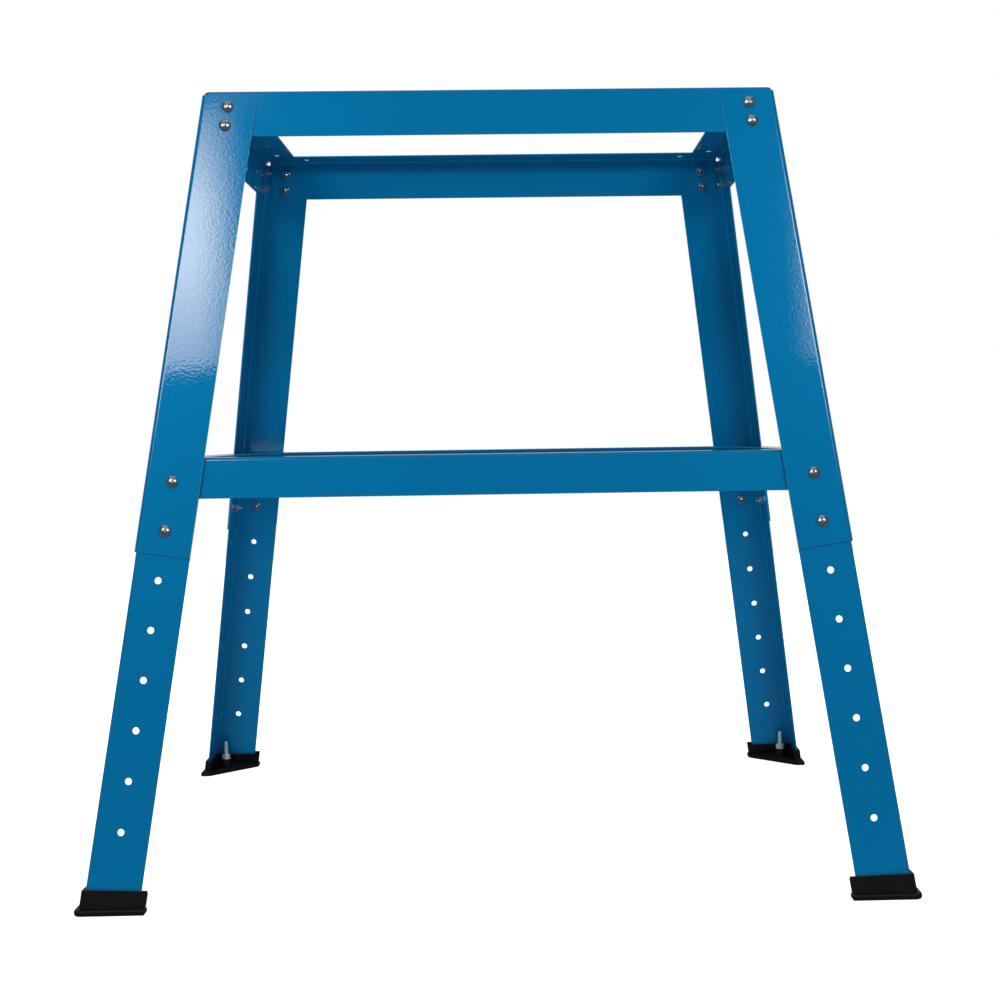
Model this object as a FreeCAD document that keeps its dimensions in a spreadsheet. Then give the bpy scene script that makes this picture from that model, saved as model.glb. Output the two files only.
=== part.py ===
import FreeCAD, Part
import math
import os
import Sketcher

# Height-adjustable stand for a bench grinder: four splayed legs of folded sheet steel, a frame of four
# rails at the top, four more rails half-way down, and lower legs that telescope inside the upper legs.
# Millimetres. Z = 0 is the floor, the centre of the stand is on the Z axis, and the front faces -Y.

doc = FreeCAD.newDocument("GrinderStand")

# ---------------------------------------------------------------- driving dimensions

SIZES = {
    # the whole stand, on the outer faces of the legs
    "stand_height": 820,
    "frame_width": 590,
    "frame_depth": 420,
    "foot_width": 823,
    "foot_depth": 690,
    # folded sheet
    "leg_sheet": 1.5,
    "rail_sheet": 1.5,
    "leg_bend_radius": 5,
    "rail_bend_radius": 4,
    "slide_gap": 0.2,
    # legs: distances run down along the leg, from the plane of the frame's top
    "leg_flange": 56.5,
    "lower_leg_flange": 54.7,
    "upper_leg_start": 3.5,
    "upper_leg_end": 479,
    "hole_diameter": 7,
    "hole_inset": 28,
    "top_hole_first": 13,
    "top_hole_second": 33,
    "lock_hole_first": 405,
    "lock_hole_pitch": 50,
    "lock_hole_count": 8,
    "lower_leg_overlap": 17,
    # rails
    "top_rail_height": 48,
    "top_rail_flange": 40,
    "lower_rail_drop": 376,
    "lower_rail_height": 41.5,
    "lower_rail_flange": 40,
    "rail_end_inset": 5.5,
    "rail_corner_radius": 6,
    "mitre_gap": 0.8,
    "mount_hole_diameter": 7,
    "mount_hole_from_end": 55,
    "mount_hole_from_face": 22,
    # foot shoes
    "shoe_floor": 5,
    "shoe_lip_height": 6.5,
    "shoe_lip_overhang": 3.8,
    "shoe_wall": 3,
    "shoe_wall_height": 24,
    "shoe_inner_wall": 3,
    "shoe_inner_height": 20,
    "shoe_end_wall": 5.5,
    "shoe_lip_end": 2,
    "shoe_fit_gap": 0.2,
    "shoe_corner_radius": 6,
    "shoe_lip_radius": 2.5,
    "shoe_cut_flat": 12,
    "boss_inset": 22,
    "boss_height": 16,
    "boss_radius": 7,
    "boss_taper": 10,
    "rib_thickness": 2.4,
    "rib_height": 13,
    "low_rib_height": 9.5,
    "low_rib_reach": 16,
    "recess_diameter": 13,
    "recess_depth": 5.2,
    # fasteners
    "thread_diameter": 6,
    "thread_gap": 0.1,
    "screw_length": 12,
    "screw_head_diameter": 12,
    "screw_head_height": 3.8,
    "screw_rim": 1.2,
    "screw_point": 0.8,
    "cross_length": 6.6,
    "cross_width": 1.5,
    "cross_depth": 2,
    "nut_flats": 10,
    "nut_height": 5,
    "foot_screw_length": 35,
    "foot_head_height": 4,
    "washer_diameter": 12,
    "washer_hole": 6.4,
    "washer_thickness": 1.6,
}

sizes = doc.addObject("Spreadsheet::Sheet", "Sizes")
for row, (alias, millimetres) in enumerate(SIZES.items(), start=1):
    sizes.set(f"A{row}", alias)
    sizes.set(f"B{row}", str(millimetres))
    sizes.setAlias(f"B{row}", alias)
doc.recompute()

# ---------------------------------------------------------------- geometry of the splay

# Slopes, and lengths along a sloping face or leg for each millimetre of height. A leg's two flanges lie in
# a front (or rear) face and a side face of the stand, so its fold is a little wider than a right angle.
SPLAY = {
    "splay_x": "(Sizes.foot_width - Sizes.frame_width) / 2 / Sizes.stand_height",
    "splay_y": "(Sizes.foot_depth - Sizes.frame_depth) / 2 / Sizes.stand_height",
    "side_face_run": "sqrt(1 + Splay.splay_x ^ 2)",
    "front_face_run": "sqrt(1 + Splay.splay_y ^ 2)",
    "leg_run": "sqrt(1 + Splay.splay_x ^ 2 + Splay.splay_y ^ 2)",
    "fold_cosine": "-Splay.splay_x * Splay.splay_y / Splay.side_face_run / Splay.front_face_run",
    "fold_sine": "sqrt(1 - Splay.fold_cosine ^ 2)",
    "nest_shift": "(1 + Splay.fold_cosine) / Splay.fold_sine",
    "nest_back": "Sizes.leg_sheet + Sizes.slide_gap",
}

splay = doc.addObject("App::VarSet", "Splay")
for name, formula in SPLAY.items():
    splay.addProperty("App::PropertyFloat", name)
    splay.setExpression(name, formula)
    doc.recompute()

FRONT_LEAN = "atan(Splay.splay_y)"
SIDE_LEAN = "atan(Splay.splay_x)"
FOLD_ANGLE = "acos(Splay.fold_cosine)"


def value(formula):
    """The number that an expression over the sheet stands for, in millimetres or degrees."""
    result = sizes.evalExpression(formula)
    return getattr(result, "Value", result)


# Points closer than this are one point.
NEAR = 1e-4


def near(number, other):
    return abs(number - other) < NEAR


def about_z(degrees):
    return FreeCAD.Rotation(FreeCAD.Vector(0, 0, 1), degrees)


def turned_about_z(vector, degrees):
    return about_z(degrees).multVec(vector)


# ---------------------------------------------------------------- sketch and feature helpers


def plane(body, role):
    return next(item for item in body.Origin.OriginFeatures if item.Role == role)


def new_body(name):
    body = doc.addObject("PartDesign::Body", name)
    body.Label = name
    return body


def new_sketch(body, name, role):
    sketch = body.newObject("Sketcher::SketchObject", name)
    sketch.AttachmentSupport = [(plane(body, role), "")]
    sketch.MapMode = "FlatFace"
    return sketch


def bind(sketch, constraint, name, formula):
    """Add a dimension to the sketch and tie it to an expression."""
    index = sketch.addConstraint(constraint)
    sketch.renameConstraint(index, name)
    sketch.setExpression(f"Constraints.{name}", formula)


def place_point(sketch, edge, end, name, x, y):
    """Hold one point of the sketch at x, y, measured from the sketch's origin."""
    bind(sketch, Sketcher.Constraint("DistanceX", -1, 1, edge, end, value(x)), f"{name}_x", x)
    bind(sketch, Sketcher.Constraint("DistanceY", -1, 1, edge, end, value(y)), f"{name}_y", y)


def add_outline(sketch, name, corners):
    """A closed outline of straight edges through corners, which are pairs of expressions."""
    points = [FreeCAD.Vector(value(x), value(y), 0) for x, y in corners]
    first = sketch.GeometryCount
    count = len(points)
    for i in range(count):
        sketch.addGeometry(Part.LineSegment(points[i], points[(i + 1) % count]), False)
    for i in range(count):
        sketch.addConstraint(Sketcher.Constraint("Coincident", first + i, 2, first + (i + 1) % count, 1))
        place_point(sketch, first + i, 1, f"{name}{i}", *corners[i])


def add_circle(sketch, name, x, y, diameter):
    centre = FreeCAD.Vector(value(x), value(y), 0)
    radius = f"({diameter}) / 2"
    edge = sketch.addGeometry(Part.Circle(centre, FreeCAD.Vector(0, 0, 1), value(radius)), False)
    place_point(sketch, edge, 3, name, x, y)
    bind(sketch, Sketcher.Constraint("Radius", edge, value(radius)), f"{name}_radius", radius)


def add_hexagon(sketch, name, flats):
    """A hexagon about the sketch's origin, flats apart across its sides."""
    reach = f"{flats} / 2 / cos(30)"
    half = f"{flats} / 2"
    corners = [
        (reach, "0"),
        (f"{reach} / 2", half),
        (f"-{reach} / 2", half),
        (f"-{reach}", "0"),
        (f"-{reach} / 2", f"-{half}"),
        (f"{reach} / 2", f"-{half}"),
    ]
    add_outline(sketch, name, corners)


def add_angle_section(sketch, start, fold, first_flange, second_flange, sheet, bend_radius):
    """The section of a folded L: two flanges whose outer faces meet, extended, at the origin.

    The first flange runs in the direction start (0 or -90 degrees), the second one is turned from it by
    fold, counter-clockwise, and the sheet lies inside the fold.
    """
    fold_degrees = value(fold)
    thickness = value(sheet)
    outer_radius = value(bend_radius)
    first_length = value(first_flange)
    second_length = value(second_flange)

    along_first = turned_about_z(FreeCAD.Vector(1, 0, 0), start)
    along_second = turned_about_z(along_first, fold_degrees)
    inside_first = turned_about_z(along_first, 90)
    inside_second = turned_about_z(along_second, -90)
    halfway = turned_about_z(along_first, fold_degrees / 2)

    centre = halfway * (outer_radius / inside_first.dot(halfway))
    outer_one = centre - inside_first * outer_radius
    outer_two = centre - inside_second * outer_radius
    outer_middle = centre - halfway * outer_radius
    inner_one = outer_one + inside_first * thickness
    inner_two = outer_two + inside_second * thickness
    inner_middle = outer_middle + halfway * thickness
    tip_one = along_first * first_length
    tip_two = along_second * second_length
    inner_tip_one = tip_one + inside_first * thickness
    inner_tip_two = tip_two + inside_second * thickness

    def add(edge):
        return sketch.addGeometry(edge, False)

    outer_line_one = add(Part.LineSegment(tip_one, outer_one))
    outer_bend = add(Part.Arc(outer_one, outer_middle, outer_two))
    outer_line_two = add(Part.LineSegment(outer_two, tip_two))
    end_two = add(Part.LineSegment(tip_two, inner_tip_two))
    inner_line_two = add(Part.LineSegment(inner_tip_two, inner_two))
    inner_bend = add(Part.Arc(inner_one, inner_middle, inner_two))
    inner_line_one = add(Part.LineSegment(inner_one, inner_tip_one))
    end_one = add(Part.LineSegment(inner_tip_one, tip_one))

    def arc_ends(arc, start_point):
        """The numbers of the arc's ends, the end at start_point first."""
        at_start = sketch.getPoint(arc, 1).distanceToPoint(start_point) < NEAR
        return (1, 2) if at_start else (2, 1)

    outer_start, outer_stop = arc_ends(outer_bend, outer_one)
    inner_start, inner_stop = arc_ends(inner_bend, inner_one)
    constraint = Sketcher.Constraint
    sketch.addConstraint([
        constraint("Tangent", outer_line_one, 2, outer_bend, outer_start),
        constraint("Tangent", outer_line_two, 1, outer_bend, outer_stop),
        constraint("Tangent", inner_line_one, 1, inner_bend, inner_start),
        constraint("Tangent", inner_line_two, 2, inner_bend, inner_stop),
        constraint("Coincident", outer_line_two, 2, end_two, 1),
        constraint("Coincident", end_two, 2, inner_line_two, 1),
        constraint("Coincident", inner_line_one, 2, end_one, 1),
        constraint("Coincident", end_one, 2, outer_line_one, 1),
        constraint("Horizontal" if start == 0 else "Vertical", outer_line_one),
        constraint("PointOnObject", -1, 1, outer_line_one),
        constraint("PointOnObject", -1, 1, outer_line_two),
        constraint("Perpendicular", end_one, outer_line_one),
        constraint("Perpendicular", end_two, outer_line_two),
        constraint("Equal", end_one, end_two),
        constraint("Parallel", inner_line_one, outer_line_one),
        constraint("Coincident", outer_bend, 3, inner_bend, 3),
    ])
    turn = math.radians(fold_degrees)
    bind(sketch, constraint("Angle", outer_line_one, 1, outer_line_two, 2, turn), "fold", fold)
    to_tip_one = constraint("Distance", -1, 1, outer_line_one, 1, first_length)
    bind(sketch, to_tip_one, "first_flange", first_flange)
    to_tip_two = constraint("Distance", -1, 1, outer_line_two, 2, second_length)
    bind(sketch, to_tip_two, "second_flange", second_flange)
    bind(sketch, constraint("Distance", end_one, thickness), "sheet", sheet)
    bind(sketch, constraint("Radius", outer_bend, outer_radius), "bend", bend_radius)


def pad(body, sketch, length, upward=True):
    feature = body.newObject("PartDesign::Pad", f"{sketch.Name}Pad")
    feature.Profile = sketch
    feature.Reversed = not upward
    feature.setExpression("Length", length)
    return feature


def cut_through(body, sketch, along_normal=False):
    feature = body.newObject("PartDesign::Pocket", f"{sketch.Name}Cut")
    feature.Profile = sketch
    feature.Type = "ThroughAll"
    feature.Reversed = along_normal
    return feature


def cut_to_depth(body, sketch, depth, along_normal=False):
    feature = body.newObject("PartDesign::Pocket", f"{sketch.Name}Cut")
    feature.Profile = sketch
    feature.Reversed = along_normal
    feature.setExpression("Length", depth)
    return feature


def edges_where(feature, test):
    """The names of the feature's edges whose two ends pass the test."""
    names = []
    for number, edge in enumerate(feature.Shape.Edges, start=1):
        ends = [vertex.Point for vertex in edge.Vertexes]
        if len(ends) == 2 and test(*ends):
            names.append(f"Edge{number}")
    return names


def round_edges(body, name, feature, test, radius):
    doc.recompute()
    fillet = body.newObject("PartDesign::Fillet", name)
    fillet.Base = (feature, edges_where(feature, test))
    fillet.setExpression("Radius", radius)
    return fillet


# ---------------------------------------------------------------- rails

# The two kinds of face: the front and rear faces lie along X, the side faces along Y. Half is half of the
# frame's length along the face, out is the distance from the middle to the face, slope is how the face leans
# out towards the floor, and across is how the legs spread within it.
FRONT_FACE = {
    "half": "Sizes.frame_width / 2",
    "out": "Sizes.frame_depth / 2",
    "slope": "Splay.splay_y",
    "across": "Splay.splay_x",
    "run": "Splay.front_face_run",
    "other_run": "Splay.side_face_run",
    "lean": FRONT_LEAN,
}
SIDE_FACE = {
    "half": "Sizes.frame_depth / 2",
    "out": "Sizes.frame_width / 2",
    "slope": "Splay.splay_x",
    "across": "Splay.splay_y",
    "run": "Splay.side_face_run",
    "other_run": "Splay.front_face_run",
    "lean": SIDE_LEAN,
}

# Top rails lie against the upper legs, lower rails against the lower legs that slide between the two.
TOP_RAIL = {
    "drop": "0",
    "back": "Sizes.leg_sheet",
    "height": "Sizes.top_rail_height",
    "flange": "Sizes.top_rail_flange",
    "screws": ["Sizes.top_hole_first", "Sizes.top_hole_second"],
}
LOWER_RAIL = {
    "drop": "Sizes.lower_rail_drop",
    "back": "2 * Splay.nest_back",
    "height": "Sizes.lower_rail_height",
    "flange": "Sizes.lower_rail_flange",
    "screws": ["Sizes.lock_hole_first"],
}


def rail(name, face, kind, turns):
    """A folded rail: a leaning flange on the legs, and a level flange turned inwards, mitred at its ends.

    Its own frame has X along the rail, Z up the leaning flange and Y inwards, and its origin is in the
    middle of the line where the outer face and the level flange's top would meet.
    """
    drop = kind["drop"]
    back = kind["back"]
    body = new_body(name)
    body_half = f"({face['half']} + {face['across']} * {drop})"
    section = new_sketch(body, f"{name}_section", "YZ_Plane")
    fold = f"90deg + {face['lean']}"
    add_angle_section(section, -90, fold, kind["height"], kind["flange"], "Sizes.rail_sheet",
                      "Sizes.rail_bend_radius")
    bar = pad(body, section, f"2 * ({body_half} - Sizes.rail_end_inset)")
    bar.SideType = "Symmetric"

    end = value(f"{body_half} - Sizes.rail_end_inset")
    bottom = -value(kind["height"])

    def at_lower_corner(start, stop):
        return near(abs(start.x), end) and near(start.x, stop.x) and near(start.z + stop.z, 2 * bottom)

    round_edges(body, f"{name}_rounding", bar, at_lower_corner, "Sizes.rail_corner_radius")

    mitre = new_sketch(body, f"{name}_mitre", "XY_Plane")
    mitre.AttachmentOffset = FreeCAD.Placement(
        FreeCAD.Vector(), FreeCAD.Rotation(FreeCAD.Vector(1, 0, 0), value(face["lean"])))
    mitre.setExpression("AttachmentOffset.Rotation.Angle", face["lean"])
    corner = f"({body_half} - {back} * {face['other_run']} - Sizes.mitre_gap / 2 * sqrt(2))"
    reach = f"({kind['flange']} + Sizes.rail_sheet)"
    add_outline(mitre, "right", [(corner, "0"), (corner, reach), (f"{corner} - {reach}", reach)])
    add_outline(mitre, "left", [(f"-{corner}", "0"), (f"{reach} - {corner}", reach), (f"-{corner}", reach)])
    if kind is TOP_RAIL:
        across = f"{face['half']} - Sizes.mount_hole_from_end"
        inwards = f"Sizes.mount_hole_from_face - {back} * {face['run']}"
        add_circle(mitre, "mount_right", across, inwards, "Sizes.mount_hole_diameter")
        add_circle(mitre, "mount_left", f"-({across})", inwards, "Sizes.mount_hole_diameter")
    cut_through(body, mitre)

    holes = new_sketch(body, f"{name}_holes", "XZ_Plane")
    for number, screw in enumerate(kind["screws"]):
        across = (f"({face['half']} + ({screw} * {face['across']} - Sizes.hole_inset * {face['run']})"
                  " / Splay.leg_run)")
        height = (f"{drop} * {face['run']} - {back} * {face['slope']}"
                  f" - ({screw} * {face['run']} + Sizes.hole_inset * {face['across']}) / Splay.leg_run")
        add_circle(holes, f"right{number}", across, height, "Sizes.hole_diameter")
        add_circle(holes, f"left{number}", f"-{across}", height, "Sizes.hole_diameter")
    body.Tip = cut_through(body, holes)

    away = value(f"{face['out']} + {face['slope']} * {drop} - {back} * {face['run']}")
    turned = about_z(90 * turns)
    lean = FreeCAD.Rotation(FreeCAD.Vector(1, 0, 0), -value(face["lean"]))
    place = turned.multVec(FreeCAD.Vector(0, -away, value(f"Sizes.stand_height - {drop}")))
    body.Placement = FreeCAD.Placement(place, turned * lean)
    return body


# ---------------------------------------------------------------- corners

# Each corner is the front left one turned about Z. Its first direction runs inwards along its first face.
CORNERS = {"front_left": 0, "front_right": 1, "rear_right": 2, "rear_left": 3}


def corner_faces(turns):
    """The face that the corner's first flange lies in, and that of its second flange."""
    return (FRONT_FACE, SIDE_FACE) if turns % 2 == 0 else (SIDE_FACE, FRONT_FACE)


def leg_frame(turns):
    """X along the first flange, Z up the leg, origin at the leg's outer corner in the frame's top plane."""
    first, second = corner_faces(turns)
    up = FreeCAD.Vector(value(first["across"]), value(second["across"]), 1).normalize()
    along = FreeCAD.Vector(1, 0, 0) - up * up.x
    rotation = FreeCAD.Rotation(along, up.cross(along), up, "ZXY")
    corner = FreeCAD.Vector(-value(first["half"]), -value(second["half"]), value("Sizes.stand_height"))
    turned = about_z(90 * turns)
    return FreeCAD.Placement(turned.multVec(corner), turned * rotation)


def nested_frame(turns):
    """The frame of the lower leg, which lies inside the upper one by the sheet and a gap."""
    inwards = FreeCAD.Vector(value("Splay.nest_back * Splay.nest_shift"), value("Splay.nest_back"), 0)
    return leg_frame(turns) * FreeCAD.Placement(inwards, FreeCAD.Rotation())


def floor_frame(turns):
    """Level, at the point of the floor where the leg's outer corner would meet it."""
    first, second = corner_faces(turns)
    height = value("Sizes.stand_height")
    across = value(first["half"]) + value(first["across"]) * height
    inwards = value(second["half"]) + value(second["across"]) * height
    turned = about_z(90 * turns)
    return FreeCAD.Placement(turned.multVec(FreeCAD.Vector(-across, -inwards, 0)), turned)


# ---------------------------------------------------------------- legs


def leg_bar(body, name, start, end, flange, bend_radius):
    """The leg's folded section, from start to end along the leg."""
    section = new_sketch(body, f"{name}_section", "XY_Plane")
    section.setExpression("AttachmentOffset.Base.z", f"-({start})")
    add_angle_section(section, 0, FOLD_ANGLE, flange, flange, "Sizes.leg_sheet", bend_radius)
    return pad(body, section, f"{end} - ({start})", upward=False)


def flange_sketches(body, name):
    """A sketch on each flange's outer face, its X along the flange and its Y up the leg."""
    first = new_sketch(body, f"{name}_first_holes", "XZ_Plane")
    second = new_sketch(body, f"{name}_second_holes", "YZ_Plane")
    turn = f"{FOLD_ANGLE} - 90deg"
    second.AttachmentOffset = FreeCAD.Placement(
        FreeCAD.Vector(), FreeCAD.Rotation(FreeCAD.Vector(0, 1, 0), value(turn)))
    second.setExpression("AttachmentOffset.Rotation.Angle", turn)
    return first, second


def upper_leg(name, turns):
    body = new_body(name)
    leg_bar(body, name, "Sizes.upper_leg_start", "Sizes.upper_leg_end", "Sizes.leg_flange",
            "Sizes.leg_bend_radius")
    drops = [
        "Sizes.top_hole_first",
        "Sizes.top_hole_second",
        "Sizes.lock_hole_first",
        "Sizes.lock_hole_first + Sizes.lock_hole_pitch",
    ]
    first, second = flange_sketches(body, name)
    for sketch in (first, second):
        for number, drop in enumerate(drops):
            add_circle(sketch, f"hole{number}", "Sizes.hole_inset", f"-({drop})", "Sizes.hole_diameter")
    cut_through(body, first)
    body.Tip = cut_through(body, second, along_normal=True)
    body.Placement = leg_frame(turns)
    return body


# The lower leg stands on the lowest of its corners, at the tip of a flange, because its end is cut square
# to the leg. Tip drop is how far that corner lies below the leg's outer corner.
TIP_WIDTH = "(Splay.nest_back * Splay.nest_shift + Sizes.lower_leg_flange)"
INNER_FACE = "(Splay.nest_back + Sizes.leg_sheet)"


def tip_drop(face):
    return (f"({TIP_WIDTH} * {face['across']} / Splay.leg_run + {INNER_FACE} * {face['slope']})"
            f" / {face['run']}")


LOWER_LEG_START = "Sizes.lock_hole_first - Sizes.lower_leg_overlap"
LOWER_LEG_END = (f"(Sizes.stand_height - Sizes.shoe_floor"
                 f" - max({tip_drop(FRONT_FACE)}; {tip_drop(SIDE_FACE)})) * Splay.leg_run")
LOWER_LEG_BEND = "Sizes.leg_bend_radius - Splay.nest_back"


def lower_leg(name, turns):
    body = new_body(name)
    leg_bar(body, name, LOWER_LEG_START, LOWER_LEG_END, "Sizes.lower_leg_flange", LOWER_LEG_BEND)
    first, second = flange_sketches(body, name)
    across = "Sizes.hole_inset - Splay.nest_back * Splay.nest_shift"
    for sketch in (first, second):
        add_circle(sketch, "hole", across, "-Sizes.lock_hole_first", "Sizes.hole_diameter")
    cuts = [cut_through(body, first), cut_through(body, second, along_normal=True)]
    row = body.newObject("PartDesign::LinearPattern", f"{name}_hole_row")
    row.Originals = cuts
    row.Direction = (plane(body, "Z_Axis"), [""])
    row.Reversed = True
    row.Mode = "Spacing"
    row.setExpression("Offset", "Sizes.lock_hole_pitch")
    row.setExpression("Occurrences", "Sizes.lock_hole_count")
    body.Tip = row
    body.Placement = nested_frame(turns)
    return body


# ---------------------------------------------------------------- foot shoes


def shoe_lines(face):
    """Where the shoe's walls lie, level, from the plane of the leg's outer face inwards."""
    leg_outside = f"Splay.nest_back * {face['run']}"
    leg_inside = f"{INNER_FACE} * {face['run']}"
    slot_outside = f"({leg_outside} - Sizes.shoe_fit_gap)"
    slot_inside = f"({leg_inside} + Sizes.shoe_fit_gap)"
    return {
        "lip": f"({slot_outside} - Sizes.shoe_wall - Sizes.shoe_lip_overhang)",
        "outside": f"({slot_outside} - Sizes.shoe_wall)",
        "slot_outside": slot_outside,
        "slot_inside": slot_inside,
        "inside": f"({slot_inside} + Sizes.shoe_inner_wall)",
    }


def shoe_ends(face):
    """Where the walls along a face end: the slot's end, the wall's end and the lip's end."""
    slot = f"({TIP_WIDTH} * Splay.leg_run / {face['run']} + Sizes.shoe_fit_gap)"
    wall = f"({slot} + Sizes.shoe_end_wall)"
    return slot, wall, f"({wall} + Sizes.shoe_lip_end)"


def l_outline(x, y, near_corner, far_corner, end_x, end_y):
    """An L whose arms run along X and Y, between the lines near_corner and far_corner."""
    return [
        (x[near_corner], y[near_corner]),
        (end_x, y[near_corner]),
        (end_x, y[far_corner]),
        (x[far_corner], y[far_corner]),
        (x[far_corner], end_y),
        (x[near_corner], end_y),
    ]


def lean_with_leg(feature, first, second):
    """Make a pad or pocket run parallel to the leg, with its length measured upwards."""
    feature.UseCustomVector = True
    feature.Direction = FreeCAD.Vector(value(first["across"]), value(second["across"]), 1)
    feature.AlongSketchNormal = True


def foot_shoe(name, turns):
    """A moulded shoe: a level base with a lip, two double walls that hold the leg, and a screw boss."""
    first, second = corner_faces(turns)
    y = shoe_lines(first)
    x = shoe_lines(second)
    slot_x, wall_x, lip_x = shoe_ends(first)
    slot_y, wall_y, lip_y = shoe_ends(second)
    body = new_body(name)

    base = new_sketch(body, f"{name}_base", "XY_Plane")
    add_outline(base, "base", [
        (x["lip"], y["lip"]),
        (lip_x, y["lip"]),
        (lip_x, f"{y['lip']} + Sizes.shoe_cut_flat"),
        (f"{x['lip']} + Sizes.shoe_cut_flat", lip_y),
        (x["lip"], lip_y),
    ])
    block = pad(body, base, "Sizes.shoe_lip_height")
    lip_left = value(x["lip"])
    lip_front = value(y["lip"])
    top = value("Sizes.shoe_lip_height")
    reach = value("Sizes.shoe_corner_radius") + NEAR

    def at_outer_corner(start, stop):
        return all(near(point.x, lip_left) and near(point.y, lip_front) for point in (start, stop))

    def on_outer_top(start, stop):
        on_left = max(start.x, stop.x) < lip_left + reach
        on_front = max(start.y, stop.y) < lip_front + reach
        return near(start.z, top) and near(stop.z, top) and (on_left or on_front)

    corner = round_edges(body, f"{name}_corner", block, at_outer_corner, "Sizes.shoe_corner_radius")
    round_edges(body, f"{name}_lip", corner, on_outer_top, "Sizes.shoe_lip_radius")

    inner_block = new_sketch(body, f"{name}_walls", "XY_Plane")
    add_outline(inner_block, "walls", l_outline(x, y, "outside", "inside", wall_x, wall_y))
    lean_with_leg(pad(body, inner_block, "Sizes.shoe_inner_height"), first, second)

    outer_wall = new_sketch(body, f"{name}_outer_wall", "XY_Plane")
    add_outline(outer_wall, "wall", l_outline(x, y, "outside", "slot_outside", wall_x, wall_y))
    lean_with_leg(pad(body, outer_wall, "Sizes.shoe_wall_height"), first, second)

    centre = "Sizes.boss_inset"
    boss = new_sketch(body, f"{name}_boss", "XY_Plane")
    boss_base = "2 * (Sizes.boss_radius + Sizes.boss_height * tan(Sizes.boss_taper * 1deg))"
    add_circle(boss, "boss", centre, centre, boss_base)
    cone = pad(body, boss, "Sizes.boss_height")
    cone.setExpression("TaperAngle", "-Sizes.boss_taper * 1deg")

    ribs = new_sketch(body, f"{name}_ribs", "XY_Plane")
    half_rib = "Sizes.rib_thickness / 2"
    rib_end = f"({centre} - Sizes.boss_radius / 2)"
    low = f"({centre} - {half_rib})"
    high = f"({centre} + {half_rib})"
    start_x = f"({x['inside']} - Sizes.shoe_inner_wall / 2)"
    start_y = f"({y['inside']} - Sizes.shoe_inner_wall / 2)"
    add_outline(ribs, "rib_x", [(start_x, low), (rib_end, low), (rib_end, high), (start_x, high)])
    add_outline(ribs, "rib_y", [(low, start_y), (high, start_y), (high, rib_end), (low, rib_end)])
    pad(body, ribs, "Sizes.rib_height")

    low_rib = new_sketch(body, f"{name}_low_rib", "XY_Plane")
    diagonal = "sqrt(0.5)"
    rib_start = f"({centre} + Sizes.boss_radius / 2 * {diagonal})"
    rib_tip = f"({centre} + Sizes.low_rib_reach * {diagonal})"
    aside = f"{half_rib} * {diagonal}"
    add_outline(low_rib, "low_rib", [
        (f"{rib_start} + {aside}", f"{rib_start} - {aside}"),
        (f"{rib_tip} + {aside}", f"{rib_tip} - {aside}"),
        (f"{rib_tip} - {aside}", f"{rib_tip} + {aside}"),
        (f"{rib_start} - {aside}", f"{rib_start} + {aside}"),
    ])
    pad(body, low_rib, "Sizes.low_rib_height")

    slot = new_sketch(body, f"{name}_slot", "XY_Plane")
    slot.setExpression("AttachmentOffset.Base.x", f"{first['across']} * Sizes.shoe_floor")
    slot.setExpression("AttachmentOffset.Base.y", f"{second['across']} * Sizes.shoe_floor")
    slot.setExpression("AttachmentOffset.Base.z", "Sizes.shoe_floor")
    slot_corners = l_outline(x, y, "slot_outside", "slot_inside", slot_x, slot_y)
    bend_room = f"({LOWER_LEG_BEND} - Sizes.leg_sheet)"
    slot_corners[3:4] = [
        (f"{x['slot_inside']} + {bend_room}", y["slot_inside"]),
        (x["slot_inside"], f"{y['slot_inside']} + {bend_room}"),
    ]
    add_outline(slot, "slot", slot_corners)
    lean_with_leg(cut_through(body, slot), first, second)

    bore = new_sketch(body, f"{name}_bore", "XY_Plane")
    add_circle(bore, "bore", centre, centre, "Sizes.washer_hole")
    cut_through(body, bore, along_normal=True)
    recess = new_sketch(body, f"{name}_recess", "XY_Plane")
    add_circle(recess, "recess", centre, centre, "Sizes.recess_diameter")
    body.Tip = cut_to_depth(body, recess, "Sizes.recess_depth", along_normal=True)
    body.Placement = floor_frame(turns)
    return body


# ---------------------------------------------------------------- fasteners


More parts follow.
